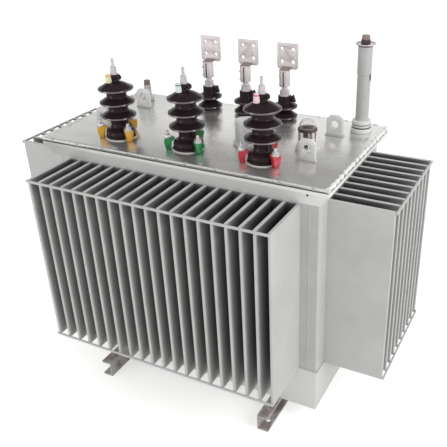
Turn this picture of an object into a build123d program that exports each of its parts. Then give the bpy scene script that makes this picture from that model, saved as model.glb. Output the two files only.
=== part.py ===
from build123d import *
import os

# An oil-filled distribution transformer with a tank of corrugated walls, in millimetres.
# +X runs along the tank, +Y to the rear and +Z up. The origin is on the floor under the middle.

# Tank shell: a plain base box, four wall panels and four bent corner posts
tank_length = 990
tank_width = 532
base_step = 5
base_height = 160
base_wall = 6
base_floor = 8
wall_height = 615
wall = 5
corner_r = 8
seam_inset = 34

# Top of the tank: a flared frame, the flange, its gasket and the cover
frame_height = 38
frame_lip = 3
flange_reach_x = 31
flange_reach_y = 14
flange = 11
opening_inset = 22
gasket = 4
gasket_inset = 3
cover = 12

# Skids: two steel channels across the tank, webs inward
skid_inset = 165
skid_shift = 16
skid_height = 63
skid_width = 40
skid_web = 5
skid_flange = 7.5
skid_reach = 106
skid_bolt_inset = 47
skid_bolt_r = 9

# Cooling fins: hollow folds of the walls, welded flat at head and foot
fin_pitch = 45
fin_margin = 60
front_fin_depth = 198
side_fin_depth = 204
fin_thickness = 10
fin_nose_r = 4
fin_foot_gap = 1
fin_head_gap = 4

# Tie bars welded along the fin tips
tie_thickness = 6
tie_height = 7
tie_overhang = 1

# High-voltage bushings: three in a row along the front of the cover
phases = ["a", "b", "c"]
hv_end_inset = 226
hv_row_x = -4
hv_row_inset = 99
hv_stud_r = 5
hv_spigot_r = 30
hv_spigot_length = 45
hv_foot_r = 50
hv_foot_ridge = 9
hv_foot_step = 3
hv_foot_height = 18
hv_shoulder = 6
hv_waist_r = 28
hv_core_r = 33
hv_shed_r = 58
hv_shed_low = 76
hv_shed_step = 47
hv_shed_count = 3
hv_shed_rise = 10
hv_shed_drop = 7
hv_shed_lip = 3
hv_neck_r = 13
hv_neck_rise = 21
hv_head_r = 15.5
hv_head_height = 213
hv_ear_r = 9
hv_ear_reach = 15
hv_ear_width = 15
hv_stud_height = 264
hv_washer_r = 12
hv_washer = 3
hv_nut_r = 11
hv_nut = 11
hv_lock_nut_r = 9.8
hv_lock_nut = 10

# Hook clamps that hold each high-voltage bushing down by its foot
clamp_count = 3
clamp_start_angle = -30
clamp_foot_width = 17
clamp_head_width = 30
clamp_reach = 24
clamp_height = 40
clamp_head = 14
clamp_clearance = 5

# Low-voltage bushings: three in a row along the rear of the cover
lv_spacing = 155
lv_row_x = 4
lv_row_inset = 46
lv_stud_r = 10
lv_spigot_r = 18
lv_spigot_length = 40
lv_foot_r = 36
lv_shed_r = 45
lv_core_r = 20
lv_shed_low = 8
lv_shed_high = 45
lv_shed_rise = 15
lv_shed_drop = 9
lv_shed_lip = 5
lv_cap_r = 24
lv_cap_height = 84
lv_ear_reach = 18
lv_ear_width = 16
lv_ear_height = 26
lv_ear_rise = 6
lv_washer_r = 19
lv_washer = 4
lv_nut_r = 17
lv_nut = 18

# Palm terminals clamped on the low-voltage studs
palm_body_r = 19
palm_gap = 13
palm_body_height = 67
palm_ear_reach = 6
palm_ear_width = 26
palm_slit = 4
palm_plate = 8
palm_setback = 22
palm_width = 78
palm_height = 82
palm_corner = 6
palm_hole_r = 7
palm_hole_gap_x = 42
palm_hole_gap_z = 44

# Lifting lugs welded on the cover, placed from the tank's walls
lug_inset_x = 108
lug_front_inset = 154
lug_rear_inset = 141
lug_width = 57
lug_height = 70
lug_plate = 12
lug_corner = 12
lug_hole_r = 13
lug_hole_height = 39

# Pressure relief valve behind the right front lug, on an eared flange
valve_inset_x = 143
valve_behind_lug = 84
valve_turn = 30
valve_foot_r = 32
valve_foot = 10
valve_ear_gap = 58
valve_ear_r = 10
valve_body_r = 26
valve_body_height = 65
valve_rod_count = 4
valve_rod_r = 3
valve_ring_r = 31
valve_ring = 6
valve_cap_r = 26
valve_cap_height = 30

# Tap changer housing between the second and third high-voltage bushings
tap_offset_x = 19.5
tap_behind_row = 107
tap_foot_r = 44
tap_foot = 10
tap_body_r = 36
tap_body_height = 83
tap_round_r = 8

# Thermometer pocket at the left rear corner
pocket_inset_x = 70
pocket_inset_y = 61
pocket_foot_r = 22
pocket_foot = 12
pocket_body_r = 14
pocket_body_height = 62
pocket_cap_r = 12
pocket_cap_height = 18

# Oil filler pipe with its level gauge head at the right rear corner
pipe_inset_x = 42
pipe_inset_y = 64
pipe_foot_r = 36
pipe_foot = 14
pipe_union_r = 32
pipe_union_height = 38
pipe_groove = 2
pipe_groove_height = 4
pipe_r = 22
gauge_r = 23.5
gauge_low = 195
gauge_high = 291
gauge_plate_r = 33
gauge_plate = 5
filler_ring_r = 15
filler_ring = 12
filler_cap_r = 13
filler_cap_height = 14

# Play between a round piece and the bore it passes through
slip = 0.3

# Plan sizes and levels of the stack, worked out from the sizes above
half_length = tank_length / 2
half_width = tank_width / 2
base_width = tank_width + 2 * base_step
flange_length = tank_length + 2 * flange_reach_x
flange_width = tank_width + 2 * flange_reach_y
opening_length = tank_length - 2 * opening_inset
opening_width = tank_width - 2 * opening_inset
skid_length = base_width + 2 * skid_reach
skid_gauge = tank_length - 2 * skid_inset
base_z = skid_height
wall_z = base_z + base_height
frame_z = wall_z + wall_height
flange_z = frame_z + frame_height
gasket_z = flange_z + flange
cover_z = gasket_z + gasket
deck_z = cover_z + cover
fin_low = wall_z + fin_foot_gap
fin_high = frame_z - fin_head_gap
hv_spacing = half_length - hv_end_inset
hv_row_y = hv_row_inset - half_width
lv_row_y = half_width - lv_row_inset
lug_x = half_length - lug_inset_x
lug_front_y = lug_front_inset - half_width
lug_rear_y = half_width - lug_rear_inset

nodes = {}


def block(x_range, y_range, z_range):
    """A box between two limits on each axis."""
    low = Vector(x_range[0], y_range[0], z_range[0])
    high = Vector(x_range[1], y_range[1], z_range[1])
    middle = (low + high) / 2
    size = high - low
    return Pos(middle.X, middle.Y, middle.Z) * Box(size.X, size.Y, size.Z)


def prism(sketch, low, height):
    """A plan outline raised from a level."""
    return Pos(0, 0, low) * extrude(sketch, amount=height)


def disc(radius, low, height):
    """A round upright solid that stands on a level."""
    return Pos(0, 0, low) * Cylinder(radius, height, align=(Align.CENTER, Align.CENTER, Align.MIN))


def side_face(points):
    """A face in the XZ plane from its corners, each a distance from the axis and a height."""
    return make_face(Polyline([(r, 0, h) for r, h in points], close=True))


def turned(points):
    """A profile of radius and height turned about the upright axis."""
    return revolve(side_face(points), axis=Axis.Z)


def hexagon(radius, low, height):
    """A hexagon nut blank, given its corner radius."""
    return prism(RegularPolygon(radius, 6), low, height)


def group(solids):
    """Like pieces kept in one node as separate solids."""
    return Compound(children=solids)


# Skids
def skid():
    """The right skid: a channel open to +X, with a bolt hole at each end of its lower flange."""
    inner = skid_height - 2 * skid_flange
    section = Rectangle(skid_width, skid_height)
    section -= Pos(skid_web, 0) * Rectangle(skid_width, inner)
    bar = extrude(Plane.XZ * section, amount=skid_length / 2, both=True)
    bar = Pos(skid_gauge / 2, 0, skid_height / 2) * bar
    bolt_y = skid_length / 2 - skid_bolt_inset
    hole = disc(skid_bolt_r, -skid_flange, 3 * skid_flange)
    for y in (-bolt_y, bolt_y):
        bar -= Pos(skid_gauge / 2, y, 0) * hole
    return bar


nodes["skid_right"] = Pos(skid_shift, 0, 0) * skid()
nodes["skid_left"] = Pos(skid_shift, 0, 0) * skid().mirror(Plane.YZ)


# Tank shell
def base_box():
    """The plain lower box of the tank, open at the top."""
    box = prism(Rectangle(tank_length, base_width), base_z, base_height)
    inside = Rectangle(tank_length - 2 * base_wall, base_width - 2 * base_wall)
    return box - prism(inside, base_z + base_floor, base_height)


def wall_panels():
    """The four flat walls between the vertical weld seams."""
    run_x = (seam_inset - half_length, half_length - seam_inset)
    run_y = (seam_inset - half_width, half_width - seam_inset)
    levels = (wall_z, frame_z)
    return {
        "front_wall": block(run_x, (-half_width, wall - half_width), levels),
        "rear_wall": block(run_x, (half_width - wall, half_width), levels),
        "left_wall": block((-half_length, wall - half_length), run_y, levels),
        "right_wall": block((half_length - wall, half_length), run_y, levels),
    }


def corner_posts():
    """The four bent corners left of a rounded tube once the flat walls are taken out."""
    outer = RectangleRounded(tank_length, tank_width, corner_r)
    inner = RectangleRounded(tank_length - 2 * wall, tank_width - 2 * wall, corner_r - wall)
    walls = Rectangle(tank_length - 2 * seam_inset, tank_width)
    walls += Rectangle(tank_length, tank_width - 2 * seam_inset)
    return group(prism(outer - inner - walls, wall_z, wall_height).solids())


def top_frame():
    """The frame that flares from the walls out to the flange."""
    low = Pos(0, 0, frame_z) * Rectangle(tank_length, tank_width)
    high = Pos(0, 0, flange_z) * Rectangle(flange_length - 2 * frame_lip, flange_width - 2 * frame_lip)
    inside = Rectangle(tank_length - 2 * wall, tank_width - 2 * wall)
    return loft([low, high]) - prism(inside, frame_z, frame_height)


def rim(inset, low, height):
    """A flat ring round the tank opening."""
    outline = Rectangle(flange_length - 2 * inset, flange_width - 2 * inset)
    return prism(outline - Rectangle(opening_length, opening_width), low, height)


nodes["tank_base"] = base_box()
nodes.update(wall_panels())
nodes["corner_posts"] = corner_posts()
nodes["top_frame"] = top_frame()
nodes["tank_flange"] = rim(0, flange_z, flange)
nodes["cover_gasket"] = rim(gasket_inset, gasket_z, gasket)


# Cooling fins
def fin(depth):
    """One fin that stands out from x=0 to +X, with a rounded nose and flat welded ends."""
    plan = Pos(depth / 2, 0) * Rectangle(depth, fin_thickness)
    plan = fillet(plan.vertices().group_by(Axis.X)[-1], fin_nose_r)
    return prism(plan, fin_low, fin_high - fin_low)


def fin_bank(wall_run, depth, wall_distance, turn):
    """As many fins as a wall has room for and the tie bars along their tips, turned to face outward."""
    one = fin(depth)
    steps = int((wall_run - 2 * fin_margin) / fin_pitch)
    half_run = steps * fin_pitch / 2
    places = [i * fin_pitch - half_run for i in range(steps + 1)]
    fins = [Rot(0, 0, turn) * Pos(wall_distance, y, 0) * one for y in places]
    tip = wall_distance + depth
    bar_end = half_run + fin_thickness / 2 + tie_overhang
    reach = (tip, tip + tie_thickness)
    run = (-bar_end, bar_end)
    top_bar = block(reach, run, (fin_high - tie_height, fin_high))
    foot_bar = block(reach, run, (fin_low, fin_low + tie_height))
    bars = [Rot(0, 0, turn) * bar for bar in (top_bar, foot_bar)]
    return fins, bars


tie_bars = []
for side, turn in (("right", 0), ("rear", 90), ("left", 180), ("front", -90)):
    if side in ("front", "rear"):
        fins, bars = fin_bank(tank_length, front_fin_depth, half_width, turn)
    else:
        fins, bars = fin_bank(tank_width, side_fin_depth, half_length, turn)
    nodes[side + "_fins"] = group(fins)
    tie_bars += bars
nodes["fin_tie_bars"] = group(tie_bars)


# Bushings
def shed(under_r, upper_r, rim_r, drop, rise, lip):
    """A rain shed with a half-round rim at z=0, between the radii it grows from below and above."""
    low = (rim_r - lip, 0, -lip)
    high = (rim_r - lip, 0, lip)
    root = min(under_r, upper_r) - lip
    corners = [high, (upper_r, 0, rise), (root, 0, rise), (root, 0, -drop), (under_r, 0, -drop), low]
    edges = Polyline(corners).edges() + ThreePointArc(low, (rim_r, 0, 0), high).edges()
    return revolve(make_face(edges), axis=Axis.Z)


def hv_porcelain():
    """A porcelain bushing with a stepped foot, a stack of sheds, a slim neck and a side ear."""
    bore = hv_stud_r + slip
    bottom = -cover - hv_spigot_length
    upper_foot_r = hv_foot_r - hv_foot_step
    top_shed = hv_shed_low + (hv_shed_count - 1) * hv_shed_step
    neck = top_shed + hv_neck_rise
    ear_z = hv_head_height - hv_ear_r - slip
    body = turned([
        (bore, bottom),
        (hv_spigot_r, bottom),
        (hv_spigot_r, 0),
        (hv_foot_r, 0),
        (hv_foot_r, hv_foot_ridge),
        (upper_foot_r, hv_foot_ridge + hv_foot_step),
        (upper_foot_r, hv_foot_height),
        (hv_foot_r - hv_shoulder, hv_foot_height),
        (hv_waist_r, hv_foot_height + hv_shoulder),
        (hv_core_r, hv_shed_low),
        (hv_core_r, top_shed),
        (hv_neck_r, neck),
        (hv_head_r, ear_z),
        (hv_head_r, hv_head_height),
        (bore, hv_head_height),
    ])
    for i in range(hv_shed_count - 1):
        one = shed(hv_core_r, hv_core_r, hv_shed_r, hv_shed_drop, hv_shed_rise, hv_shed_lip)
        body += Pos(0, 0, hv_shed_low + i * hv_shed_step) * one
    top = shed(hv_core_r, hv_neck_r, hv_shed_r, hv_shed_drop, hv_neck_rise, hv_shed_lip)
    body += Pos(0, 0, top_shed) * top
    ear = Pos(hv_ear_reach, 0, ear_z) * Rot(90, 0, 0) * Cylinder(hv_ear_r, hv_ear_width)
    ear -= disc(hv_head_r - slip, 0, hv_head_height)
    return body + ear


def hv_terminal():
    """The threaded stud through the bushing with its washers, nut and lock nut."""
    bottom = -cover - hv_spigot_length
    nut_z = hv_head_height + hv_washer
    lock_z = nut_z + hv_nut + hv_washer / 2
    stud = disc(hv_stud_r, bottom, hv_stud_height - bottom)
    stud += disc(hv_washer_r, hv_head_height, hv_washer)
    stud += hexagon(hv_nut_r, nut_z, hv_nut)
    stud += disc(hv_lock_nut_r, nut_z + hv_nut, hv_washer / 2)
    stud += hexagon(hv_lock_nut_r, lock_z, hv_lock_nut)
    return stud


def hv_clamps():
    """Cast hook clamps round the foot, wide at the head, each bearing on the foot's shoulder."""
    back = hv_foot_r + clamp_clearance
    outer = back + clamp_reach
    nose = hv_foot_r - hv_shoulder
    head_z = clamp_height - clamp_head
    hook = side_face([
        (back, 0),
        (outer, 0),
        (outer, head_z),
        (outer - clamp_reach / 4, clamp_height),
        (back, clamp_height),
        (nose, hv_foot_height + clamp_head / 2),
        (nose, hv_foot_height),
        (back, hv_foot_height),
    ])
    foot = clamp_foot_width / 2
    head = clamp_head_width / 2
    half_taper = [(foot, 0), (head, head_z), (head, clamp_height)]
    taper = half_taper + [(-y, z) for y, z in reversed(half_taper)]
    front = make_face(Polyline([(0, y, z) for y, z in taper], close=True))
    casting = extrude(hook, amount=head, both=True) & extrude(front, amount=outer, dir=(1, 0, 0))
    turns = [clamp_start_angle + i * 360 / clamp_count for i in range(clamp_count)]
    return [Rot(0, 0, turn) * casting for turn in turns]


def lv_porcelain():
    """A short bushing with two sheds under a round cap that has a wedge-shaped ear."""
    bore = lv_stud_r + slip
    bottom = -cover - lv_spigot_length
    cap_low = lv_shed_high + lv_shed_rise
    body = turned([
        (bore, bottom),
        (lv_spigot_r, bottom),
        (lv_spigot_r, 0),
        (lv_foot_r, 0),
        (lv_core_r, lv_shed_low + lv_shed_rise),
        (lv_core_r, lv_shed_high),
        (lv_cap_r, cap_low),
        (lv_cap_r, lv_cap_height),
        (bore, lv_cap_height),
    ])
    low_shed = shed(lv_foot_r, lv_core_r, lv_shed_r, lv_shed_low, lv_shed_rise, lv_shed_lip)
    high_shed = shed(lv_core_r, lv_cap_r, lv_shed_r, lv_shed_drop, lv_shed_rise, lv_shed_lip)
    body += Pos(0, 0, lv_shed_low) * low_shed
    body += Pos(0, 0, lv_shed_high) * high_shed
    ear_low = lv_cap_height + lv_ear_rise - lv_ear_height
    ear = side_face([
        (lv_core_r, ear_low),
        (lv_cap_r + lv_ear_reach, ear_low),
        (lv_cap_r + lv_ear_reach / 2, lv_cap_height + lv_ear_rise),
        (lv_core_r, lv_cap_height - lv_ear_rise),
    ])
    return body + extrude(ear, amount=lv_ear_width / 2, both=True)


palm_body_low = lv_cap_height + lv_washer + lv_nut + palm_gap
palm_body_high = palm_body_low + palm_body_height


def lv_terminal():
    """The threaded stud through the bushing with its washer and nut."""
    bottom = -cover - lv_spigot_length
    top = palm_body_high - 2 * palm_plate
    stud = disc(lv_stud_r, bottom, top - bottom)
    stud += disc(lv_washer_r, lv_cap_height, lv_washer)
    stud += hexagon(lv_nut_r, lv_cap_height + lv_washer, lv_nut)
    return stud


def palm_terminal():
    """A split clamp on the stud, a step to the rear and an upright palm with four bolt holes."""
    body = disc(palm_body_r, palm_body_low, palm_body_height)
    ear_x = (-palm_body_r - palm_ear_reach, 0)
    half_ear = palm_ear_width / 2
    levels = (palm_body_low, palm_body_high)
    body += block(ear_x, (-half_ear, half_ear), levels)
    body -= disc(lv_stud_r + slip, palm_body_low, palm_body_height - palm_plate)
    body -= block(ear_x, (-palm_slit / 2, palm_slit / 2), levels)
    back = palm_setback + palm_plate
    step_low = palm_body_high - palm_plate
    body += block((-palm_body_r, palm_body_r), (0, back), (step_low, palm_body_high))
    palm = Rectangle(palm_width, palm_height)
    palm = chamfer(palm.vertices().group_by(Axis.Y)[0], palm_corner)
    palm -= GridLocations(palm_hole_gap_x, palm_hole_gap_z, 2, 2) * Circle(palm_hole_r)
    plate = extrude(Plane.XZ * palm, amount=-palm_plate)
    return body + Pos(0, palm_setback, step_low + palm_height / 2) * plate


hv_places = {}
lv_places = {}
for index, phase in enumerate(phases):
    step = index - (len(phases) - 1) / 2
    hv_places[phase] = Pos(hv_row_x + step * hv_spacing, hv_row_y, deck_z)
    lv_places[phase] = Pos(lv_row_x + step * lv_spacing, lv_row_y, deck_z)

for phase in phases:
    hv_place = hv_places[phase]
    lv_place = lv_places[phase]
    nodes["hv_bushing_" + phase] = hv_place * hv_porcelain()
    nodes["hv_stud_" + phase] = hv_place * hv_terminal()
    nodes["hv_clamps_" + phase] = group([hv_place * one for one in hv_clamps()])
    nodes["lv_bushing_" + phase] = lv_place * lv_porcelain()
    nodes["lv_stud_" + phase] = lv_place * lv_terminal()
    nodes["lv_palm_" + phase] = lv_place * palm_terminal()


# Cover
def cover_plate():
    """The flat cover with a hole under every bushing."""
    plate = prism(Rectangle(flange_length, flange_width), cover_z, cover)
    for place in hv_places.values():
        plate -= place * disc(hv_spigot_r + slip, -2 * cover, 3 * cover)
    for place in lv_places.values():
        plate -= place * disc(lv_spigot_r + slip, -2 * cover, 3 * cover)
    return plate


nodes["cover_plate"] = cover_plate()


# Fittings on the cover
def lifting_lug(x, y):
    """An upright plate with cut shoulders and a shackle hole."""
    plate = Rectangle(lug_width, lug_height)
    plate = chamfer(plate.vertices().group_by(Axis.Y)[-1], lug_corner)
    plate -= Pos(0, lug_hole_height - lug_height / 2) * Circle(lug_hole_r)
    upright = extrude(Plane.XZ * plate, amount=lug_plate / 2, both=True)
    return Pos(x, y, deck_z + lug_height / 2) * upright


def relief_valve():
    """The valve's eared flange and sight body with its tie rods, the ring above it and the domed cap."""
    flange_plan = Circle(valve_foot_r)
    flange_plan += SlotCenterToCenter(valve_ear_gap, 2 * valve_ear_r)
    body = prism(flange_plan, 0, valve_foot)
    upper = valve_body_height - valve_foot
    body += disc(valve_body_r, valve_foot, upper)
    for spot in PolarLocations(valve_body_r, valve_rod_count):
        body += spot * disc(valve_rod_r, valve_foot, upper)
    ring = disc(valve_ring_r, valve_body_height, valve_ring)
    cap = disc(valve_cap_r, valve_body_height + valve_ring, valve_cap_height)
    cap = fillet(cap.edges().group_by(Axis.Z)[-1], valve_cap_r / 2)
    return body, ring, cap


def filler_pipe():
    """The filler pipe on its grooved union, the gauge head with its top plate, and the cap on its ring."""
    groove_low = (pipe_foot + pipe_union_height - pipe_groove_height) / 2
    pipe = disc(pipe_foot_r, 0, pipe_foot)
    pipe += disc(pipe_union_r, pipe_foot, pipe_union_height - pipe_foot)
    pipe -= disc(pipe_union_r, groove_low, pipe_groove_height) - disc(
        pipe_union_r - pipe_groove, groove_low, pipe_groove_height
    )
    pipe += disc(pipe_r, pipe_union_height, gauge_low - pipe_union_height)
    gauge_top = gauge_high + gauge_plate
    head = disc(gauge_r, gauge_low, gauge_high - gauge_low)
    head += disc(gauge_plate_r, gauge_high, gauge_plate)
    filler = disc(filler_ring_r, gauge_top, filler_ring)
    filler += disc(filler_cap_r, gauge_top + filler_ring, filler_cap_height)
    return pipe, head, filler


lug_places = [(x, y) for y in (lug_front_y, lug_rear_y) for x in (-lug_x, lug_x)]
nodes["lifting_lugs"] = group([lifting_lug(x, y) for x, y in lug_places])

valve_place = Pos(half_length - valve_inset_x, lug_front_y + valve_behind_lug, deck_z)
valve_parts = [valve_place * Rot(0, 0, valve_turn) * part for part in relief_valve()]
nodes["relief_valve_body"], nodes["relief_valve_ring"], nodes["relief_valve_cap"] = valve_parts

tap_body = disc(tap_foot_r, 0, tap_foot) + disc(tap_body_r, tap_foot, tap_body_height - tap_foot)
tap_body = fillet(tap_body.edges().group_by(Axis.Z)[-1], tap_round_r)
tap_x = hv_row_x + hv_spacing / 2 + tap_offset_x
tap_place = Pos(tap_x, hv_row_y + tap_behind_row, deck_z)
nodes["tap_changer_housing"] = tap_place * tap_body

pocket_place = Pos(pocket_inset_x - half_length, half_width - pocket_inset_y, deck_z)
pocket = disc(pocket_foot_r, 0, pocket_foot)
pocket += disc(pocket_body_r, pocket_foot, pocket_body_height - pocket_foot)
nodes["thermometer_pocket"] = pocket_place * pocket
nodes["thermometer_cap"] = pocket_place * disc(pocket_cap_r, pocket_body_height, pocket_cap_height)

pipe_place = Pos(half_length - pipe_inset_x, half_width - pipe_inset_y, deck_z)
pipe_parts = [pipe_place * part for part in filler_pipe()]
nodes["oil_filler_pipe"], nodes["level_gauge_head"], nodes["oil_filler_cap"] = pipe_parts

os.makedirs("parts", exist_ok=True)
for name, shape in nodes.items():
    export_step(shape, "parts/" + name + ".step")
print(len(nodes), "nodes")
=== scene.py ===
# %% [markdown]
# # A power transformer in a finned tank
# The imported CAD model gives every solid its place: the tank, its fins, the cover and the bushings.
# This lesson dresses that frame. It gives each surface its real finish and adds the small things
# that a solid model leaves out, such as nuts, threads, welds and tags.

# %% Load the frame
from math import cos, pi, radians, sin

import bmesh
import bpy
from mathutils import Matrix, Vector


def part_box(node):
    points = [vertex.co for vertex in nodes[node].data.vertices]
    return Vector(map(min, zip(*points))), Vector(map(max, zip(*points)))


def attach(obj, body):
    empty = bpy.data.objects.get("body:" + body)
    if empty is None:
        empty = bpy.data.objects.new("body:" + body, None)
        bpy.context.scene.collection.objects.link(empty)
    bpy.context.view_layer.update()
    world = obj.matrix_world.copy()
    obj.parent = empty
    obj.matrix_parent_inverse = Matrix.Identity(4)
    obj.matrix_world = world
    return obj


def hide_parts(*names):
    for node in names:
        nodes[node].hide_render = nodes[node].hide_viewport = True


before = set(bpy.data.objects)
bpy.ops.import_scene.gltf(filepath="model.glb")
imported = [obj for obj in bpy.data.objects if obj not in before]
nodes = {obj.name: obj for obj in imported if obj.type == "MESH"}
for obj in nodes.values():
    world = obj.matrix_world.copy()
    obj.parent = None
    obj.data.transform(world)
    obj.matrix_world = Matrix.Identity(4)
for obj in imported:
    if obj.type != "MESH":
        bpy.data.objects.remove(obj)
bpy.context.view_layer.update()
slot_of = {name: part.data.materials[0].name for name, part in nodes.items()}
MM = 0.001
scene = bpy.context.scene
scene.view_settings.view_transform = "Standard"

# %% [markdown]
# ## The camera
# The photograph was taken from the front right, above the cover. A camera can be placed by eye, but
# here its place, its turn and its lens come from matching known corners of the tank, so the same
# numbers always give the same view. The picture was cropped off its middle, and a small lens shift
# stands for that.

# %% Camera
FOCUS_PX, FRAME_PX, SENSOR_MM = 648.362, 447, 36
AXIS_PX = (265, 221)
lens = bpy.data.cameras.new("front_right_camera")
lens.sensor_width = SENSOR_MM
lens.lens = FOCUS_PX / FRAME_PX * SENSOR_MM
lens.shift_x = (FRAME_PX / 2 - AXIS_PX[0]) / FRAME_PX
lens.shift_y = (AXIS_PX[1] - FRAME_PX / 2) / FRAME_PX
lens.clip_start, lens.clip_end = 0.05, 60
camera = bpy.data.objects.new("front_right_camera", lens)
camera.location = (1.099209, -1.810737, 1.678004)
camera.rotation_euler = [radians(angle) for angle in (61.88279, 1.09137, 26.30056)]
scene.collection.objects.link(camera)
scene.camera = camera
print("camera: lens %.1f mm" % lens.lens)

# %% [markdown]
# ## Colours and nodes
# Screen colours are written as hex, and Blender mixes light in linear numbers, so `linear` translates.
# `put` adds one node to any tree, sets it and links it, so that a finish reads as a short list. `fill`
# is the last part of that, and serves a node that is already there, such as a finish's own shader.

# %% Helpers for finishes
def linear(code):
    """A screen colour such as #C4C4C2 as linear red, green, blue and alpha."""
    parts = [int(code[place:place + 2], 16) / 255 for place in (1, 3, 5)]
    return [c / 12.92 if c < 0.04045 else ((c + 0.055) / 1.055) ** 2.4 for c in parts] + [1.0]


def fill(tree, node, inputs):
    """Links or sets a node's inputs, by name or number."""
    for key, value in dict(inputs).items():
        if isinstance(value, bpy.types.NodeSocket):
            tree.links.new(value, node.inputs[key])
        else:
            node.inputs[key].default_value = value


def put(tree, kind, inputs=(), **settings):
    """Adds a node, sets its properties and fills its inputs."""
    made = tree.nodes.new(kind)
    for name, value in settings.items():
        setattr(made, name, value)
    fill(tree, made, inputs)
    return made


def start(name):
    """A new finish: the material, its node tree, its shader and its Object coordinates."""
    made = bpy.data.materials.new(name)
    made.use_nodes = True
    tree = made.node_tree
    place = put(tree, "ShaderNodeTexCoord").outputs["Object"]
    return made, tree, tree.nodes["Principled BSDF"], place


def per(size_mm):
    """The texture scale that gives a pattern this size in millimetres."""
    return 1000 / size_mm


print("helpers for finishes ready")

# %% [markdown]
# ## Floor and light
# The transformer stands on a white floor. The floor adds a little glow of its own for the camera, so
# that it comes out white and still keeps the shadow. Brighter lamps would do that too, but they would
# bleach the pale paint.

# %% Floor
# Matt white floor paint, almost without gloss.
FLOOR_GLOW, FLOOR_HALF = 0.5, 30
floor_paint, tree, shader, place = start("pale_studio_floor")
rays = put(tree, "ShaderNodeLightPath").outputs
glow = put(tree, "ShaderNodeMath", {0: rays["Is Camera Ray"], 1: FLOOR_GLOW}, operation="MULTIPLY").outputs[0]
fill(tree, shader, {"Base Color": linear("#F4F4F2"), "Roughness": 0.9, "Specular IOR Level": 0.1,
                    "Emission Color": (1, 1, 1, 1), "Emission Strength": glow})
mesh = bpy.data.meshes.new("floor")
corners = [(a * FLOOR_HALF, b * FLOOR_HALF, 0) for a, b in ((-1, -1), (1, -1), (1, 1), (-1, 1))]
mesh.from_pydata(corners, [], [(0, 1, 2, 3)])
mesh.materials.append(floor_paint)
floor = bpy.data.objects.new("floor", mesh)
scene.collection.objects.link(floor)
print("floor: white, with shadow")

# %% [markdown]
# Soft light comes from all round, with one broad lamp on the right, so that the fins' right faces are
# the bright ones, and a weaker one at the front left. To the camera the world is pure white. Mirrors
# see that white at the horizon and a dimmer ceiling, as in a hall with low windows, and a slightly
# dimmer left side. That is what makes the far half of the deck shine.

# %% World and lamps
SOFT, CEILING, LEFT_SIDE = 0.68, 0.32, 0.74
world = bpy.data.worlds.new("white_studio")
scene.world = world
world.use_nodes = True
tree = world.node_tree
rays = put(tree, "ShaderNodeLightPath").outputs
way = put(tree, "ShaderNodeTexCoord").outputs["Generated"]
split = put(tree, "ShaderNodeSeparateXYZ", {0: way}).outputs
levels = []
for axis, begin, full, first, last in ((2, 0.41, 0.47, 1.0, CEILING), (0, -0.62, -0.50, LEFT_SIDE, 1.0)):
    span = {"Value": split[axis], "From Min": begin, "From Max": full, "To Min": first, "To Max": last}
    levels.append(put(tree, "ShaderNodeMapRange", span, interpolation_type="SMOOTHSTEP").outputs[0])
hall = put(tree, "ShaderNodeMath", enumerate(levels), operation="MULTIPLY").outputs[0]
level = put(tree, "ShaderNodeMix", {0: rays["Is Glossy Ray"], 2: SOFT, 3: hall}).outputs[0]
seen = (rays["Is Camera Ray"], rays["Is Transmission Ray"])
clear = put(tree, "ShaderNodeMath", enumerate(seen), operation="MAXIMUM").outputs[0]
level = put(tree, "ShaderNodeMix", {0: clear, 2: level, 3: 1.0}).outputs[0]
fill(tree, tree.nodes["Background"], {"Color": (1, 1, 1, 1), "Strength": level})

AIM = Vector((0, 0, 0.6))
for name, at, size, power in (("right_softbox", (3.6, -0.6, 2.4), 2.4, 58),
                              ("front_softbox", (-2.0, -3.1, 0.5), 1.8, 26)):
    lamp = bpy.data.lights.new(name, "AREA")
    lamp.size, lamp.energy = size, power
    holder = bpy.data.objects.new(name, lamp)
    holder.location = at
    holder.rotation_euler = (Vector(at) - AIM).to_track_quat("Z", "Y").to_euler()
    scene.collection.objects.link(holder)
print("light: white world and two softboxes")

# %% [markdown]
# ## Tank enamel
# The tank is folded sheet steel under sprayed grey enamel. The spray leaves a fine orange peel, and dust
# settles in broad soft clouds. The deep gaps between fins get painted shade: the depth in a gap is worked
# out from the Object coordinates, so it stays with the fins from every side, and the paint darkens with it
# as light does, by a steady share for each millimetre. The painted shade lifts again at a gap's foot, and
# a painted shadow of the frame above darkens its head.

# %% Painted shade in the gaps between fins
# An alkyd enamel: half gloss, with a slightly pebbled skin that breaks up the highlights.
TIPS, BANKS = {"y": 0.463, "x": 0.698}, {"x": 0.4320, "y": 0.2070}
FIN_HEAD, FIN_FOOT, HEAD_STEEPNESS = 0.8335, 0.2245, 6.0
FRAME_SHADOW_END, FRAME_SHADOW_DEPTH, FADE, EULER = 0.40, 0.034, 0.038, 2.71828
tank_enamel, tree, shader, place = start("alkyd_enamel_grey")
axes = put(tree, "ShaderNodeSeparateXYZ", {0: place}).outputs
reach = []
for along, across in (("y", "x"), ("x", "y")):
    out, side = (put(tree, "ShaderNodeMath", {0: axes["xyz".index(axis)]}, operation="ABSOLUTE").outputs[0]
                 for axis in (along, across))
    within = put(tree, "ShaderNodeMath", {0: side, 1: BANKS[across]}, operation="LESS_THAN").outputs[0]
    deep = put(tree, "ShaderNodeMath", {0: TIPS[along], 1: out}, operation="SUBTRACT").outputs[0]
    reach.append(put(tree, "ShaderNodeMath", {0: deep, 1: within}, operation="MULTIPLY").outputs[0])
deep = put(tree, "ShaderNodeMath", enumerate(reach), operation="MAXIMUM").outputs[0]
below = put(tree, "ShaderNodeMath", {0: FIN_HEAD, 1: axes[2]}, operation="SUBTRACT").outputs[0]
below = put(tree, "ShaderNodeMath", {0: below, 1: HEAD_STEEPNESS}, operation="MULTIPLY").outputs[0]
above = put(tree, "ShaderNodeMath", {0: axes[2], 1: FIN_FOOT}, operation="SUBTRACT").outputs[0]
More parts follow.
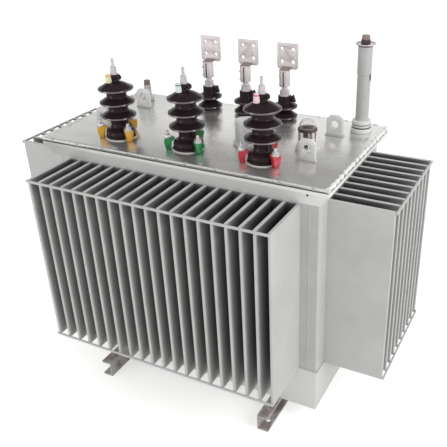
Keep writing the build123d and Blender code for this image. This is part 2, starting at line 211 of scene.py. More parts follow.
for operation, limit in (("MINIMUM", below), ("MINIMUM", above), ("MAXIMUM", 0.0)):
    deep = put(tree, "ShaderNodeMath", {0: deep, 1: limit}, operation=operation).outputs[0]
# Painted shadow of the frame above: extra depth at the fins' heads, fading out lower down.
shaded = {"Value": below, "From Max": FRAME_SHADOW_END, "To Min": FRAME_SHADOW_DEPTH, "To Max": 0.0}
painted_frame_shadow = put(tree, "ShaderNodeMapRange", shaded).outputs[0]
inside = put(tree, "ShaderNodeMapRange", {"Value": deep, "From Min": 0.001, "From Max": 0.008}).outputs[0]
deep = put(tree, "ShaderNodeMath", {0: painted_frame_shadow, 1: inside, 2: deep}, operation="MULTIPLY_ADD").outputs[0]
# Painted shade: the share of the paint's brightness that is left at this depth.
depths = put(tree, "ShaderNodeMath", {0: deep, 1: -1 / FADE}, operation="MULTIPLY").outputs[0]
painted_gap_shade = put(tree, "ShaderNodeMath", {0: EULER, 1: depths}, operation="POWER").outputs[0]
print("light falls to a third in", FADE, "m")

# %% [markdown]
# Above and below the fins the paint is lighter, as painted light, and palest on the frame under the cover.
# The left end of that frame is painted darker, as painted shade. Each step mixes two tones, and the last
# one lays the painted shade in the gaps.

# %% Tank enamel colours
WALL_MIDDLE, WALL_HALF, LEFT_END_SHADE = 0.5305, 0.3072, (-0.48, -0.30)
grain = {"Vector": place, "Scale": per(160), "Detail": 9.0, "Roughness": 0.68}
cloud = put(tree, "ShaderNodeTexNoise", grain).outputs["Fac"]
from_middle = put(tree, "ShaderNodeMath", {0: axes[2], 1: WALL_MIDDLE}, operation="SUBTRACT").outputs[0]
from_middle = put(tree, "ShaderNodeMath", {0: from_middle}, operation="ABSOLUTE").outputs[0]
painted_light_zone = put(tree, "ShaderNodeMath", {0: from_middle, 1: WALL_HALF}, operation="GREATER_THAN").outputs[0]
upper = put(tree, "ShaderNodeMath", {0: axes[2], 1: WALL_MIDDLE}, operation="GREATER_THAN").outputs[0]
# Painted shade: the frame above the fins darkens towards its left end.
ends = {"Value": axes[0], "From Min": LEFT_END_SHADE[0], "From Max": LEFT_END_SHADE[1]}
painted_shade_left_end = put(tree, "ShaderNodeMapRange", ends).outputs[0]
# Painted light above and below the fins, painted shade at the frame's left end and in the gaps.
tones = {"dust": (cloud, "#B8B9B7", "#D8D9D7"), "painted_frame_light_and_shade": (painted_shade_left_end, "#BCBDBB", "#F2F2F0"),
         "painted_light_bands": (upper, "#DCDDDB", "painted_frame_light_and_shade"), "wall": (painted_light_zone, "dust", "painted_light_bands"), "all": (painted_gap_shade, "#3E4342", "wall")}
mixed = {}
for tone, (factor, *pair) in tones.items():
    first, second = (mixed[end] if end in mixed else linear(end) for end in pair)
    made = put(tree, "ShaderNodeMix", {"Factor": factor, "A": first, "B": second}, data_type="RGBA")
    mixed[tone] = made.outputs["Result"]
peel = put(tree, "ShaderNodeTexNoise", {"Vector": place, "Scale": per(3), "Detail": 2.0}).outputs["Fac"]
skin = put(tree, "ShaderNodeBump", {"Height": peel, "Strength": 0.12, "Distance": 0.0004}).outputs[0]
gloss = put(tree, "ShaderNodeMapRange", {"Value": cloud, "To Min": 0.34, "To Max": 0.5}).outputs[0]
fill(tree, shader, {"Base Color": mixed["all"], "Normal": skin, "Roughness": gloss, "Specular IOR Level": 0.35})
print("made", tank_enamel.name)

# %% [markdown]
# ## Cover enamel
# The cover is sprayed with silver paint, in which flakes of aluminium lie flat under a clear lacquer,
# so the deck mirrors the bushings standing on it, softly. The flakes make the shader mostly Metallic,
# the lacquer is its clear coat, and slow waves in the lacquer make the reflections wander.

# %% Cover enamel
# Silver paint: a soft mirror, streaked along the cover where it was sprayed and wiped.
STREAK = (0.3, 1.0, 1.0)
cover_enamel, tree, shader, place = start("aluminium_flake_enamel")
along = put(tree, "ShaderNodeVectorMath", {0: place, 1: STREAK}, operation="MULTIPLY").outputs[0]
grain = {"Vector": along, "Scale": per(60), "Detail": 5.0, "Roughness": 0.6}
streaks = put(tree, "ShaderNodeTexNoise", grain).outputs["Fac"]
body = put(tree, "ShaderNodeMix", {"Factor": streaks, "A": linear("#CFCDC8"), "B": linear("#F6F5F2")},
           data_type="RGBA").outputs["Result"]
smear = put(tree, "ShaderNodeTexNoise", {"Vector": place, "Scale": per(70), "Detail": 5.0}).outputs["Fac"]
wiped = put(tree, "ShaderNodeMapRange", {"Value": smear, "To Min": 0.2, "To Max": 0.34}).outputs[0]
wave = put(tree, "ShaderNodeTexNoise", {"Vector": place, "Scale": per(45), "Detail": 2.0}).outputs["Fac"]
flow = put(tree, "ShaderNodeBump", {"Height": wave, "Strength": 0.03, "Distance": 0.001}).outputs[0]
fill(tree, shader, {"Base Color": body, "Roughness": wiped, "Metallic": 0.8, "Coat Weight": 1.0,
                    "Coat Roughness": 0.18, "Coat IOR": 1.6, "Normal": flow, "Coat Normal": flow})
print("made", cover_enamel.name)

# %% [markdown]
# ## Skid paint
# The skids are hot rolled channels under a thin coat of paint, and they have been dragged over a
# workshop floor. Brown dirt lies on their upper faces and rust comes through in patches.

# %% Skid paint
# Thin paint on rolled steel: matt, brownish where dirt and rust show through.
DIRT_ON_TOP = 0.16
skid_paint, tree, shader, place = start("worn_primer_on_steel")
grain = {"Vector": place, "Scale": per(40), "Detail": 6.0, "Roughness": 0.65}
patch = put(tree, "ShaderNodeTexNoise", grain).outputs["Fac"]
facing = put(tree, "ShaderNodeNewGeometry").outputs["Normal"]
upward = put(tree, "ShaderNodeSeparateXYZ", {0: facing}).outputs[2]
lying = put(tree, "ShaderNodeMath", {0: upward, 1: DIRT_ON_TOP, 2: patch}, operation="MULTIPLY_ADD").outputs[0]
rust = put(tree, "ShaderNodeMapRange", {"Value": lying, "From Min": 0.46, "From Max": 0.72}).outputs[0]
worn = put(tree, "ShaderNodeMix", {"Factor": rust, "A": linear("#C4C2C0"), "B": linear("#8C807D")},
           data_type="RGBA").outputs["Result"]
scale = put(tree, "ShaderNodeTexNoise", {"Vector": place, "Scale": per(4), "Detail": 3.0}).outputs["Fac"]
pits = put(tree, "ShaderNodeBump", {"Height": scale, "Strength": 0.3, "Distance": 0.0006}).outputs[0]
fill(tree, shader, {"Base Color": worn, "Normal": pits, "Roughness": 0.62})
print("made", skid_paint.name)

# %% [markdown]
# ## Glazed porcelain
# Bushings are fired clay under a thick brown glaze. The glaze is glass: very smooth and dark, and a pale
# line painted on the sharp rims of the sheds is a painted highlight. The bushings made further down store
# how near each point is to a rim in an attribute named `rim`, and the finish reads it.

# %% Porcelain glaze
# Brown glaze: almost black, with sharp highlights and a pale painted highlight line on each rim.
porcelain, tree, shader, place = start("glazed_porcelain_brown")
run = put(tree, "ShaderNodeTexNoise", {"Vector": place, "Scale": per(30), "Detail": 3.0}).outputs["Fac"]
glaze = put(tree, "ShaderNodeMix", {"Factor": run, "A": linear("#241A1E"), "B": linear("#34272B")},
            data_type="RGBA").outputs["Result"]
rim = put(tree, "ShaderNodeAttribute", attribute_name="rim").outputs["Fac"]
# Painted highlight: the glaze turns pale near each rim.
painted_rim_highlight = put(tree, "ShaderNodeMix", {"Factor": rim, "A": glaze, "B": linear("#6E6066")},
           data_type="RGBA").outputs["Result"]
pour = put(tree, "ShaderNodeTexNoise", {"Vector": place, "Scale": per(14), "Detail": 1.0}).outputs["Fac"]
skin = put(tree, "ShaderNodeBump", {"Height": pour, "Strength": 0.06, "Distance": 0.001}).outputs[0]
fill(tree, shader, {"Base Color": painted_rim_highlight, "Normal": skin, "Roughness": 0.12, "Specular IOR Level": 0.18,
                    "Coat Weight": rim, "Coat IOR": 3.2, "Coat Roughness": 0.12})
print("made", porcelain.name)

# %% [markdown]
# ## Metals
# Four metals finish the terminals: zinc on the studs and nuts, tin on the copper palms, the same tin
# painted dull grey on the bent strip of each palm as painted shade, and chrome on the valve. Chrome is a
# full Metallic shader. The other plated coats have weathered to a thin chalky skin, so they are half
# Metallic. Tint and roughness tell them apart, with a fine pattern in both.

# %% Metals
metals = {}
for name, dark, light, rough, size, metallic in (
        # Zinc plating: soft grey with a faint warm cast and cloudy reflections.
        ("zinc_plated_steel", "#D2CCCE", "#EEE9EB", (0.24, 0.42), 6, 0.5),
        # Tinned copper: pale, slightly pink where the tin is thin.
        ("tinned_copper", "#E0D6D6", "#EFE8E8", (0.4, 0.55), 9, 0.5),
        # The same tin coat painted dull grey on the bent strip, as painted shade.
        ("tin_painted_shade", "#948A88", "#B8AEAC", (0.4, 0.6), 5, 0.5),
        # Chrome plate: a bright mirror with small stains.
        ("chrome_plate", "#C8C8C6", "#E6E6E4", (0.10, 0.22), 12, 1.0)):
    metals[name], tree, shader, place = start(name)
    stain = put(tree, "ShaderNodeTexNoise", {"Vector": place, "Scale": per(size), "Detail": 4.0}).outputs["Fac"]
    tint = put(tree, "ShaderNodeMix", {"Factor": stain, "A": linear(dark), "B": linear(light)},
               data_type="RGBA").outputs["Result"]
    dull = put(tree, "ShaderNodeMapRange", {"Value": stain, "To Min": rough[0], "To Max": rough[1]}).outputs[0]
    fill(tree, shader, {"Base Color": tint, "Roughness": dull, "Metallic": metallic})
zinc = metals["zinc_plated_steel"]
print("made", ", ".join(metals))

# %% [markdown]
# ## Clamp enamels, rubber and plastics
# The three phases are told apart by yellow, green and red clamps, brush painted. Gaskets are dark
# rubber or pale cork, and the thermometer and filler carry moulded plastic caps. These share one
# recipe, a colour broken up by a second one, so a table of values makes them all.

# %% Clamp enamels, rubber and plastics
# The fine texture of all of them is drawn coarser than the real one, so that it shows.
TEXTURE_MM = 1.5
paints = {}
for name, light, dark, rough, size, gloss in (
        # Brushed enamel: strong colour, a soft streaky gloss.
        ("brushed_enamel_yellow", "#EDB530", "#D99A20", 0.34, 18, 0.4),
        ("brushed_enamel_green", "#12924A", "#0B6C36", 0.34, 18, 0.4),
        ("brushed_enamel_red", "#D23244", "#B02234", 0.34, 18, 0.4),
        # Fitting enamel: the tank's grey on small castings, a little paler and glossier. The paler second copy is
        # painted light.
        ("fitting_enamel_grey", "#C4C4C2", "#B6B6B4", 0.36, 25, 0.3),
        ("fitting_enamel_painted_light", "#ECECEA", "#E0E0DE", 0.36, 25, 0.3),
        # Weld enamel: white on the bead, as a painted highlight.
        ("weld_enamel_painted_highlight", "#FCFCFA", "#F2F2F0", 0.25, 9, 0.6),
        # Nitrile rubber: dark and dull, with a grey bloom.
        ("nitrile_rubber", "#5A5858", "#3E3C3C", 0.7, 10, 0.0),
        # Cork sheet: pale, warm and quite matt.
        ("cork_sheet_pale", "#EAE6E2", "#D8D2CC", 0.8, 6, 0.0),
        # Moulded plastics: even colour, fine texture.
        ("moulded_plastic_dark", "#4A4543", "#363231", 0.45, 5, 0.1),
        ("moulded_plastic_taupe", "#8A7F77", "#70665F", 0.45, 5, 0.1),
        ("moulded_plastic_brown", "#54423F", "#3E2F2D", 0.4, 5, 0.2),
        ("moulded_plastic_tan", "#A8938E", "#8A736E", 0.4, 5, 0.2),
        ("moulded_plastic_white", "#E4E4E2", "#D2D2D0", 0.3, 14, 0.4),
        # Thin moulded tags: pale and matt.
        ("tag_plastic_yellow", "#F6EED0", "#EEE0AC", 0.45, 5, 0.2),
        ("tag_plastic_mint", "#EEF6F2", "#DAECE3", 0.45, 5, 0.2),
        ("tag_plastic_pink", "#FAE6E9", "#F1CDD2", 0.45, 5, 0.2)):
    paints[name], tree, shader, place = start(name)
    cloud = put(tree, "ShaderNodeTexNoise", {"Vector": place, "Scale": per(size), "Detail": 4.0}).outputs["Fac"]
    tone = put(tree, "ShaderNodeMix", {"Factor": cloud, "A": linear(dark), "B": linear(light)},
               data_type="RGBA").outputs["Result"]
    fine = put(tree, "ShaderNodeTexNoise", {"Vector": place, "Scale": per(TEXTURE_MM), "Detail": 2.0}).outputs["Fac"]
    skin = put(tree, "ShaderNodeBump", {"Height": fine, "Strength": 0.15, "Distance": 0.0002}).outputs[0]
    fill(tree, shader, {"Base Color": tone, "Normal": skin, "Roughness": rough,
                        "Coat Weight": gloss, "Coat Roughness": 0.12})
fitting = paints["fitting_enamel_grey"]
fitting_painted_light = paints["fitting_enamel_painted_light"]
print("made", ", ".join(paints))

# %% [markdown]
# ## Clear sleeve
# The relief valve has a clear sleeve and a clear dome. Real glass would need many light bounces, so
# this is a Principled shader with Transmission, a little milky where handling has scratched it.

# %% Clear sleeve
# Polycarbonate: clear, slightly milky, with soft scratches.
clear_plastic, tree, shader, place = start("polycarbonate_clear")
haze = put(tree, "ShaderNodeTexNoise", {"Vector": place, "Scale": per(8), "Detail": 5.0}).outputs["Fac"]
scratch = put(tree, "ShaderNodeMapRange", {"Value": haze, "To Min": 0.03, "To Max": 0.2}).outputs[0]
milk = put(tree, "ShaderNodeMix", {"Factor": haze, "A": linear("#F4F2F1"), "B": linear("#FFFFFF")},
           data_type="RGBA").outputs["Result"]
fill(tree, shader, {"Base Color": milk, "Roughness": scratch, "Transmission Weight": 0.95, "IOR": 1.12})
print("made", clear_plastic.name)

# %% [markdown]
# ## Paint the CAD solids
# Each solid in the frame names the slot of its finish. One table from slot to finish paints all of
# them, so a new coat later is one line.

# %% Paint the solids
finishes = {
    "tank_paint": tank_enamel, "cover_paint": fitting, "skid_paint": skid_paint,
    "porcelain_brown": porcelain, "gasket_rubber": paints["nitrile_rubber"],
    "plated_steel": zinc, "tinned_copper": metals["tinned_copper"],
    "chrome_plate": metals["chrome_plate"], "clamp_yellow": paints["brushed_enamel_yellow"],
    "clamp_green": paints["brushed_enamel_green"], "clamp_red": paints["brushed_enamel_red"],
    "dark_plastic": paints["moulded_plastic_dark"], "brown_plastic": paints["moulded_plastic_brown"]}
for name, part in nodes.items():
    part.material_slots[0].material = finishes[slot_of[name]]
print("painted", len(nodes), "solids")

# %% [markdown]
# ## Making pieces
# Every new piece ends the same way: smooth shading set with sharp edges kept, and the piece tied to
# the model. A piece built in a bmesh has its doubles merged and its faces turned outward first.

# %% Settling a piece
def settle(name, mesh, paint, stands_for=(), angle=32, flat_over=1e9):
    """Makes a plain mesh a piece of the model; faces over a size in square millimetres are shaded flat."""
    mesh.materials.clear()
    mesh.materials.append(paint)
    stale = mesh.attributes.get("custom_normal")
    if stale:
        mesh.attributes.remove(stale)
    mesh.polygons.foreach_set("use_smooth", [face.area < flat_over * MM * MM for face in mesh.polygons])
    mesh.set_sharp_from_angle(angle=radians(angle))
    made = bpy.data.objects.new(name, mesh)
    scene.collection.objects.link(made)
    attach(made, "root")
    if stands_for:
        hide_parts(*stands_for)
    return made


def piece(name, bm, paint, stands_for=(), angle=32, flat_over=1e9):
    """Cleans a bmesh and settles it."""
    bmesh.ops.remove_doubles(bm, verts=bm.verts, dist=1e-6)
    bmesh.ops.recalc_face_normals(bm, faces=bm.faces)
    mesh = bpy.data.meshes.new(name)
    bm.to_mesh(mesh)
    bm.free()
    return settle(name, mesh, paint, stands_for, angle, flat_over)


def stand(node):
    """The place on the deck under the middle of a node."""
    low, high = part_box(node)
    return Matrix.Translation(((low[0] + high[0]) / 2, (low[1] + high[1]) / 2, deck))


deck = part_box("cover_plate")[1][2]
print("deck at %.3f m" % deck)

# %% [markdown]
# Shapes come from a few small makers. `softened` copies a CAD solid and rounds its edges, because no
# real edge is sharp and the rounded edge is what catches the light. `block` is a rounded box and
# `prism` a solid between two equal outlines.

# %% Shape helpers
def at_mm(place, x, y, z):
    """A point of a place, given in millimetres."""
    return place @ Vector((x * MM, y * MM, z * MM))


def ease(bm, edges, width, segments=2, clamp_overlap=False):
    """Rounds edges by a width in millimetres."""
    bmesh.ops.bevel(bm, geom=edges, offset=width * MM, segments=segments, profile=0.5, affect="EDGES",
                    clamp_overlap=clamp_overlap)


def softened(node, width):
    """A merged copy of a CAD solid with its sharp edges rounded by a width in millimetres."""
    bm = bmesh.new()
    bm.from_mesh(nodes[node].data)
    bmesh.ops.remove_doubles(bm, verts=bm.verts, dist=1e-5)
    bmesh.ops.dissolve_limit(bm, angle_limit=radians(1), verts=bm.verts, edges=bm.edges)
    sharp = [edge for edge in bm.edges if edge.is_manifold and edge.calc_face_angle(0) > radians(30)]
    ease(bm, sharp, width, clamp_overlap=True)
    return bm


def block(bm, place, middle, size, width, segments=2):
    """A rounded box in a place, from its middle and its size in metres."""
    matrix = place @ Matrix.Translation(middle) @ Matrix.Diagonal((*size, 1))
    corners = set(bmesh.ops.create_cube(bm, size=1, matrix=matrix)["verts"])
    ease(bm, [edge for edge in bm.edges if corners.issuperset(edge.verts)], width, segments)


def prism(bm, *outlines):
    """A solid between two equal outlines."""
    near, far = ([bm.verts.new(point) for point in outline] for outline in outlines)
    bm.faces.new(near)
    bm.faces.new(reversed(far))
    for here in range(len(near)):
        after = (here + 1) % len(near)
        bm.faces.new((near[here], far[here], far[after], near[after]))


print("shape helpers ready")

# %% [markdown]
# `turn` spins an outline round an axis, as a lathe or a potter's wheel does, and `rounded` draws the
# corners of the outline as short curves first. `lathe` makes a whole piece from one outline.

# %% Turned shapes
def rounded(points):
    """An outline of radius, height and corner size, with its corners drawn as short curves."""
    drawn = [points[0][:2]]
    for before, here, after in zip(points, points[1:], points[2:]):
        a, b, c = (Vector(point[:2]) for point in (before, here, after))
        cut = here[2] if len(here) > 2 else 0.8
        cut = min(cut, (a - b).length * 0.48, (c - b).length * 0.48)
        first, last = b + (a - b).normalized() * cut, b + (c - b).normalized() * cut
        drawn += [tuple(first * (1 - t) ** 2 + b * 2 * t * (1 - t) + last * t ** 2) for t in (0, 0.3, 0.7, 1)]
    return drawn + [points[-1][:2]]


def turn(bm, points, place, count, knurl=0.0):
    """Spins an outline in millimetres round the upright axis of a place; a knurl cuts every second step."""
    outline = rounded(points)
    rings = []
    for step in range(count):
        way = 2 * pi * step / count
        cut = knurl * (step % 2)
        reach = [(max(r - cut, 0), z) for r, z in outline]
        rings.append([bm.verts.new(at_mm(place, r * cos(way), r * sin(way), z)) for r, z in reach])
    for here, after in zip(rings, rings[1:] + rings[:1]):
        for low in range(len(outline) - 1):
            bm.faces.new((here[low], after[low], after[low + 1], here[low + 1]))


def lathe(name, points, place, paint, stands_for=(), count=48, knurl=0.0, angle=32):
    """A piece turned from one outline."""
    bm = bmesh.new()
    turn(bm, points, place, count, knurl)
    return piece(name, bm, paint, stands_for, angle)


print("turned shapes ready")

# %% [markdown]
# ## Fasteners, welds and threads with Geometry Nodes
# Nuts, weld beads and threads repeat many times, so each is one node tree with named inputs. A tree
# runs on a carrier: bare points with an axis for nuts and threads, bare lines for welds. Its result
# is kept as a plain mesh, so nothing is left to compute later.

# %% Node tree helpers
def new_tree(name, inputs):
    """A tree with a geometry in and out and named inputs; gives the tree, its inputs and its end."""
    tree = bpy.data.node_groups.new(name, "GeometryNodeTree")
    tree.interface.new_socket("Geometry", in_out="INPUT", socket_type="NodeSocketGeometry")
    for label, value in inputs.items():
        kind = "NodeSocketInt" if label == "Seed" else "NodeSocketFloat"
        tree.interface.new_socket(label, in_out="INPUT", socket_type=kind).default_value = value
    tree.interface.new_socket("Material", in_out="INPUT", socket_type="NodeSocketMaterial")
    tree.interface.new_socket("Geometry", in_out="OUTPUT", socket_type="NodeSocketGeometry")
    return tree, put(tree, "NodeGroupInput").outputs, put(tree, "NodeGroupOutput")


def close_tree(tree, shape, given, end):
    """Makes a shape real, gives it the material and ends the tree with it."""
    real = put(tree, "GeometryNodeRealizeInstances", {0: shape}).outputs[0]
    done = put(tree, "GeometryNodeSetMaterial", {"Geometry": real, "Material": given["Material"]}).outputs[0]
    tree.links.new(done, end.inputs[0])
    print("tree", tree.name)


def grown(name, tree, points, edges, paint, axes=(), **inputs):
    """Runs a tree on a carrier of points or lines and gives the plain mesh."""
    mesh = bpy.data.meshes.new(name)
    mesh.from_pydata(points, edges, [])
    if axes:
        stored = mesh.attributes.new("axis", "FLOAT_VECTOR", "POINT")
        stored.data.foreach_set("vector", [c for axis in axes for c in axis])
    carrier = bpy.data.objects.new(name + "_carrier", mesh)
    scene.collection.objects.link(carrier)
    modifier = carrier.modifiers.new("grow", "NODES")
    modifier.node_group = tree
    values = inputs | {"Material": paint}
    for socket in tree.interface.items_tree:
        if socket.in_out == "INPUT" and socket.name in values:
            modifier[socket.identifier] = values[socket.name]
    made = bpy.data.meshes.new_from_object(carrier.evaluated_get(bpy.context.evaluated_depsgraph_get()))
    bpy.data.objects.remove(carrier)
    return made


print("node tree helpers ready")

# %% [markdown]
# A fastener is a stack of cones: a washer, a hexagon, its chamfered top, and a stud with a chamfered
# end. Each one is turned to its axis and then spun by a random angle with a fixed seed, as a spanner
# leaves them.

# %% Hexagon fastener tree
fastener, given, end = new_tree("hex_fastener", {
    "Washer_Radius": 0.01, "Washer_Height": 0.002, "Nut_Radius": 0.01, "Nut_Height": 0.008,
    "Stud_Radius": 0.005, "Stud_Height": 0.02, "Seed": 3})
washer_r, washer_h, nut_r, nut_h, stud_r, stud_h = (
    given[part + "_" + size] for part in ("Washer", "Nut", "Stud") for size in ("Radius", "Height"))
hexagon, crown_r, crown_h, tip_r, tip_h = (
    put(fastener, "ShaderNodeMath", {0: size, 1: share}, operation="MULTIPLY").outputs[0]
    for size, share in ((nut_h, 0.84), (nut_r, 0.88), (nut_h, 0.16), (stud_r, 0.78), (stud_r, 0.25)))
crown = put(fastener, "ShaderNodeMath", {0: washer_h, 1: hexagon}, operation="ADD").outputs[0]
layers = [(24, washer_r, washer_r, washer_h, 0.0), (6, nut_r, nut_r, hexagon, washer_h),
          (6, nut_r, crown_r, crown_h, crown), (16, stud_r, stud_r, stud_h, 0.0), (16, stud_r, tip_r, tip_h, stud_h)]
stack = put(fastener, "GeometryNodeJoinGeometry")
for sides, low_r, top_r, depth, base in layers:
    cone = put(fastener, "GeometryNodeMeshCone", {
        "Vertices": sides, "Radius Bottom": low_r, "Radius Top": top_r, "Depth": depth}).outputs["Mesh"]
    lift = put(fastener, "ShaderNodeCombineXYZ", {2: base}).outputs[0]
    raised = put(fastener, "GeometryNodeTransform", {"Geometry": cone, "Translation": lift})
    fastener.links.new(raised.outputs[0], stack.inputs[0])
axis = put(fastener, "GeometryNodeInputNamedAttribute", {"Name": "axis"}, data_type="FLOAT_VECTOR").outputs[0]
aim = put(fastener, "FunctionNodeAlignRotationToVector", {"Vector": axis}, axis="Z").outputs[0]
chance = put(fastener, "FunctionNodeRandomValue", {"Min": 0.0, "Max": 2 * pi, "Seed": given["Seed"]},
             data_type="FLOAT").outputs["Value"]
spin = put(fastener, "FunctionNodeAxisAngleToRotation", {"Axis": (0, 0, 1), "Angle": chance}).outputs[0]
tight = put(fastener, "FunctionNodeRotateRotation", {0: aim, 1: spin}, rotation_space="LOCAL").outputs[0]
many = put(fastener, "GeometryNodeInstanceOnPoints", {
    "Points": given["Geometry"], "Instance": stack.outputs[0], "Rotation": tight}).outputs[0]
close_tree(fastener, many, given, end)

# %% [markdown]
# A weld bead is a tube along a line whose width rises and falls in short steps, one for each drop of
# metal, with some drops larger than others.

# %% Weld bead tree
bead, given, end = new_tree("weld_bead", {"Radius": 0.003, "Step": 0.002, "Ripple": 0.2, "Seed": 5})
line = put(bead, "GeometryNodeMeshToCurve", {"Mesh": given["Geometry"]}).outputs[0]
line = put(bead, "GeometryNodeResampleCurve", {"Curve": line, "Length": given["Step"]}, mode="LENGTH").outputs[0]
number = put(bead, "GeometryNodeInputIndex").outputs[0]
third = put(bead, "ShaderNodeMath", {0: number, 1: 1 / 3}, operation="MULTIPLY").outputs[0]
third = put(bead, "ShaderNodeMath", {0: third}, operation="FRACT").outputs[0]
drop = put(bead, "ShaderNodeMath", {0: third, 1: given["Ripple"]}, operation="MULTIPLY").outputs[0]
lump = put(bead, "FunctionNodeRandomValue", {"Min": 0.85, "Max": 1.15, "Seed": given["Seed"]},
           data_type="FLOAT").outputs["Value"]
width = put(bead, "ShaderNodeMath", {0: lump, 1: drop}, operation="SUBTRACT").outputs[0]
ring = put(bead, "GeometryNodeCurvePrimitiveCircle", {"Resolution": 8, "Radius": given["Radius"]}).outputs[0]
tube = put(bead, "GeometryNodeCurveToMesh", {
    "Curve": line, "Profile Curve": ring, "Scale": width, "Fill Caps": True}).outputs[0]
close_tree(bead, tube, given, end)

# %% [markdown]
# A thread is one three-sided wire wound round the stud.

# %% Thread tree
thread, given, end = new_tree("screw_thread", {"Radius": 0.005, "Pitch": 0.0015, "Length": 0.02})
turns = put(thread, "ShaderNodeMath", {0: given["Length"], 1: given["Pitch"]}, operation="DIVIDE").outputs[0]
coil = put(thread, "GeometryNodeCurveSpiral", {
    "Resolution": 20, "Rotations": turns, "Start Radius": given["Radius"], "End Radius": given["Radius"],
    "Height": given["Length"]}).outputs[0]
thick = put(thread, "ShaderNodeMath", {0: given["Pitch"], 1: 0.48}, operation="MULTIPLY").outputs[0]
wire = put(thread, "GeometryNodeCurvePrimitiveCircle", {"Resolution": 3, "Radius": thick}).outputs[0]
crest = put(thread, "GeometryNodeCurveToMesh", {"Curve": coil, "Profile Curve": wire, "Fill Caps": True}).outputs[0]
many = put(thread, "GeometryNodeInstanceOnPoints", {"Points": given["Geometry"], "Instance": crest}).outputs[0]
close_tree(thread, many, given, end)

# %% [markdown]
# Nuts are listed by their place, their axis and three pairs of radius and height in millimetres, for
# washer, nut and stud. `nuts` gives the plain mesh, and `bolts` makes a piece of it.

# %% Fastener helpers
UP = (0, 0, 1)


def nuts(points, axis, washer, nut, stud, seed=3):
    """A plain mesh of fasteners that share one axis."""
    sizes = {}
    for part, (radius, height) in (("Washer", washer), ("Nut", nut), ("Stud", stud)):
        sizes |= {part + "_Radius": radius * MM, part + "_Height": height * MM}
    return grown("nuts", fastener, points, [], zinc, [axis] * len(points), Seed=seed, **sizes)


def bolts(name, points, axis, washer, nut, stud):
    """A piece of fasteners."""
    settle(name, nuts(points, axis, washer, nut, stud), zinc)


def terminal(kind, phase, meshes):
    """A stud with its nuts and thread as one piece."""
    bm = bmesh.new()
    for mesh in meshes:
        bm.from_mesh(mesh)
    made = bpy.data.meshes.new(kind + "_terminal_" + phase)
    bm.to_mesh(made)
    bm.free()
    settle(kind + "_terminal_" + phase, made, zinc, (kind + "_stud_" + phase,), 25)


print("fastener helpers ready")

# %% [markdown]
# ## Rolled and cut steel
# The skids, the base, the tie bars, the flange and the lugs keep their CAD shapes with rounded edges.
# The cover plate is drawn afresh as one rounded slab, because its bushing holes never show.

# %% Rolled and cut steel
FLAT_STEEL = 500
for node, width, paint in (
        ("skid_left", 1.6, skid_paint), ("skid_right", 1.6, skid_paint), ("tank_base", 3.0, tank_enamel),
        ("fin_tie_bars", 1.2, tank_enamel), ("tank_flange", 1.5, tank_enamel), ("lifting_lugs", 1.0, fitting_painted_light)):
    piece(node + "_steel", softened(node, width), paint, (node,), flat_over=FLAT_STEEL)
low, high = (Vector(corner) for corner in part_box("cover_plate"))
bm = bmesh.new()
block(bm, Matrix.Identity(4), (low + high) / 2, high - low, 3, 4)
piece("cover_slab", bm, cover_enamel, ("cover_plate",))
print("cover", tuple(high - low))

# %% [markdown]
# ## Welds
# The cover is welded to the flange along its edge, with a tack every ten centimetres where the welder
# began. The lugs stand in a bead, the base meets the walls in one, and a thin bead runs up each side
# of the corner posts.

# %% Weld helpers
def loop(half_x, half_y, z, x=0.0, y=0.0):
    """A closed rectangle of points at a level."""
    return [(x + a * half_x, y + b * half_y, z) for a, b in ((-1, -1), (1, -1), (1, 1), (-1, 1))]


def weld(name, lines, paint, slot, closed=False, **inputs):
    """One piece of weld along several lines."""
    points, edges = [], []
    for line in lines:
        first = len(points)
        points += line
        edges += [(first + i, first + i + 1) for i in range(len(line) - 1)]
        if closed:
            edges.append((len(points) - 1, first))
    settle(name, grown(name, bead, points, edges, paint, **inputs), paint, angle=60)
    print(name, len(lines), "lines")


print("weld helpers ready")

# %% Welds on the cover
SEAM_IN, SEAM_DOWN, END_IN, END_DOWN = 0.001, 0.0035, 0.003, 0.004
FIRST_TACK, TACK_STEP, TACKS, TACK_HALF, TACK_UP = -0.478, 0.1063, 10, 0.005, 0.001
cover_x, cover_y, rim_z = high.x - SEAM_IN, high.y - SEAM_IN, high.z - SEAM_DOWN
sides, end_z, tack_z = (-cover_y, cover_y), deck - END_DOWN, rim_z + TACK_UP
weld("cover_weld_long", [[(-cover_x, y, rim_z), (cover_x, y, rim_z)] for y in sides],
     fitting_painted_light, "cover_paint", Radius=0.0026, Step=0.003, Ripple=0.15)
weld("cover_weld_short", [[(x, -cover_y, end_z), (x, cover_y, end_z)] for x in (END_IN - cover_x, cover_x - END_IN)],
     paints["weld_enamel_painted_highlight"], "cover_paint", Radius=0.0085, Step=0.011, Ripple=0.7, Seed=8)
tacks = [FIRST_TACK + TACK_STEP * i for i in range(TACKS)]
weld("cover_tacks", [[(x - TACK_HALF, y, tack_z), (x + TACK_HALF, y, tack_z)] for x in tacks for y in sides],
     fitting, "cover_paint", Radius=0.0046, Step=0.0025, Ripple=0.3)

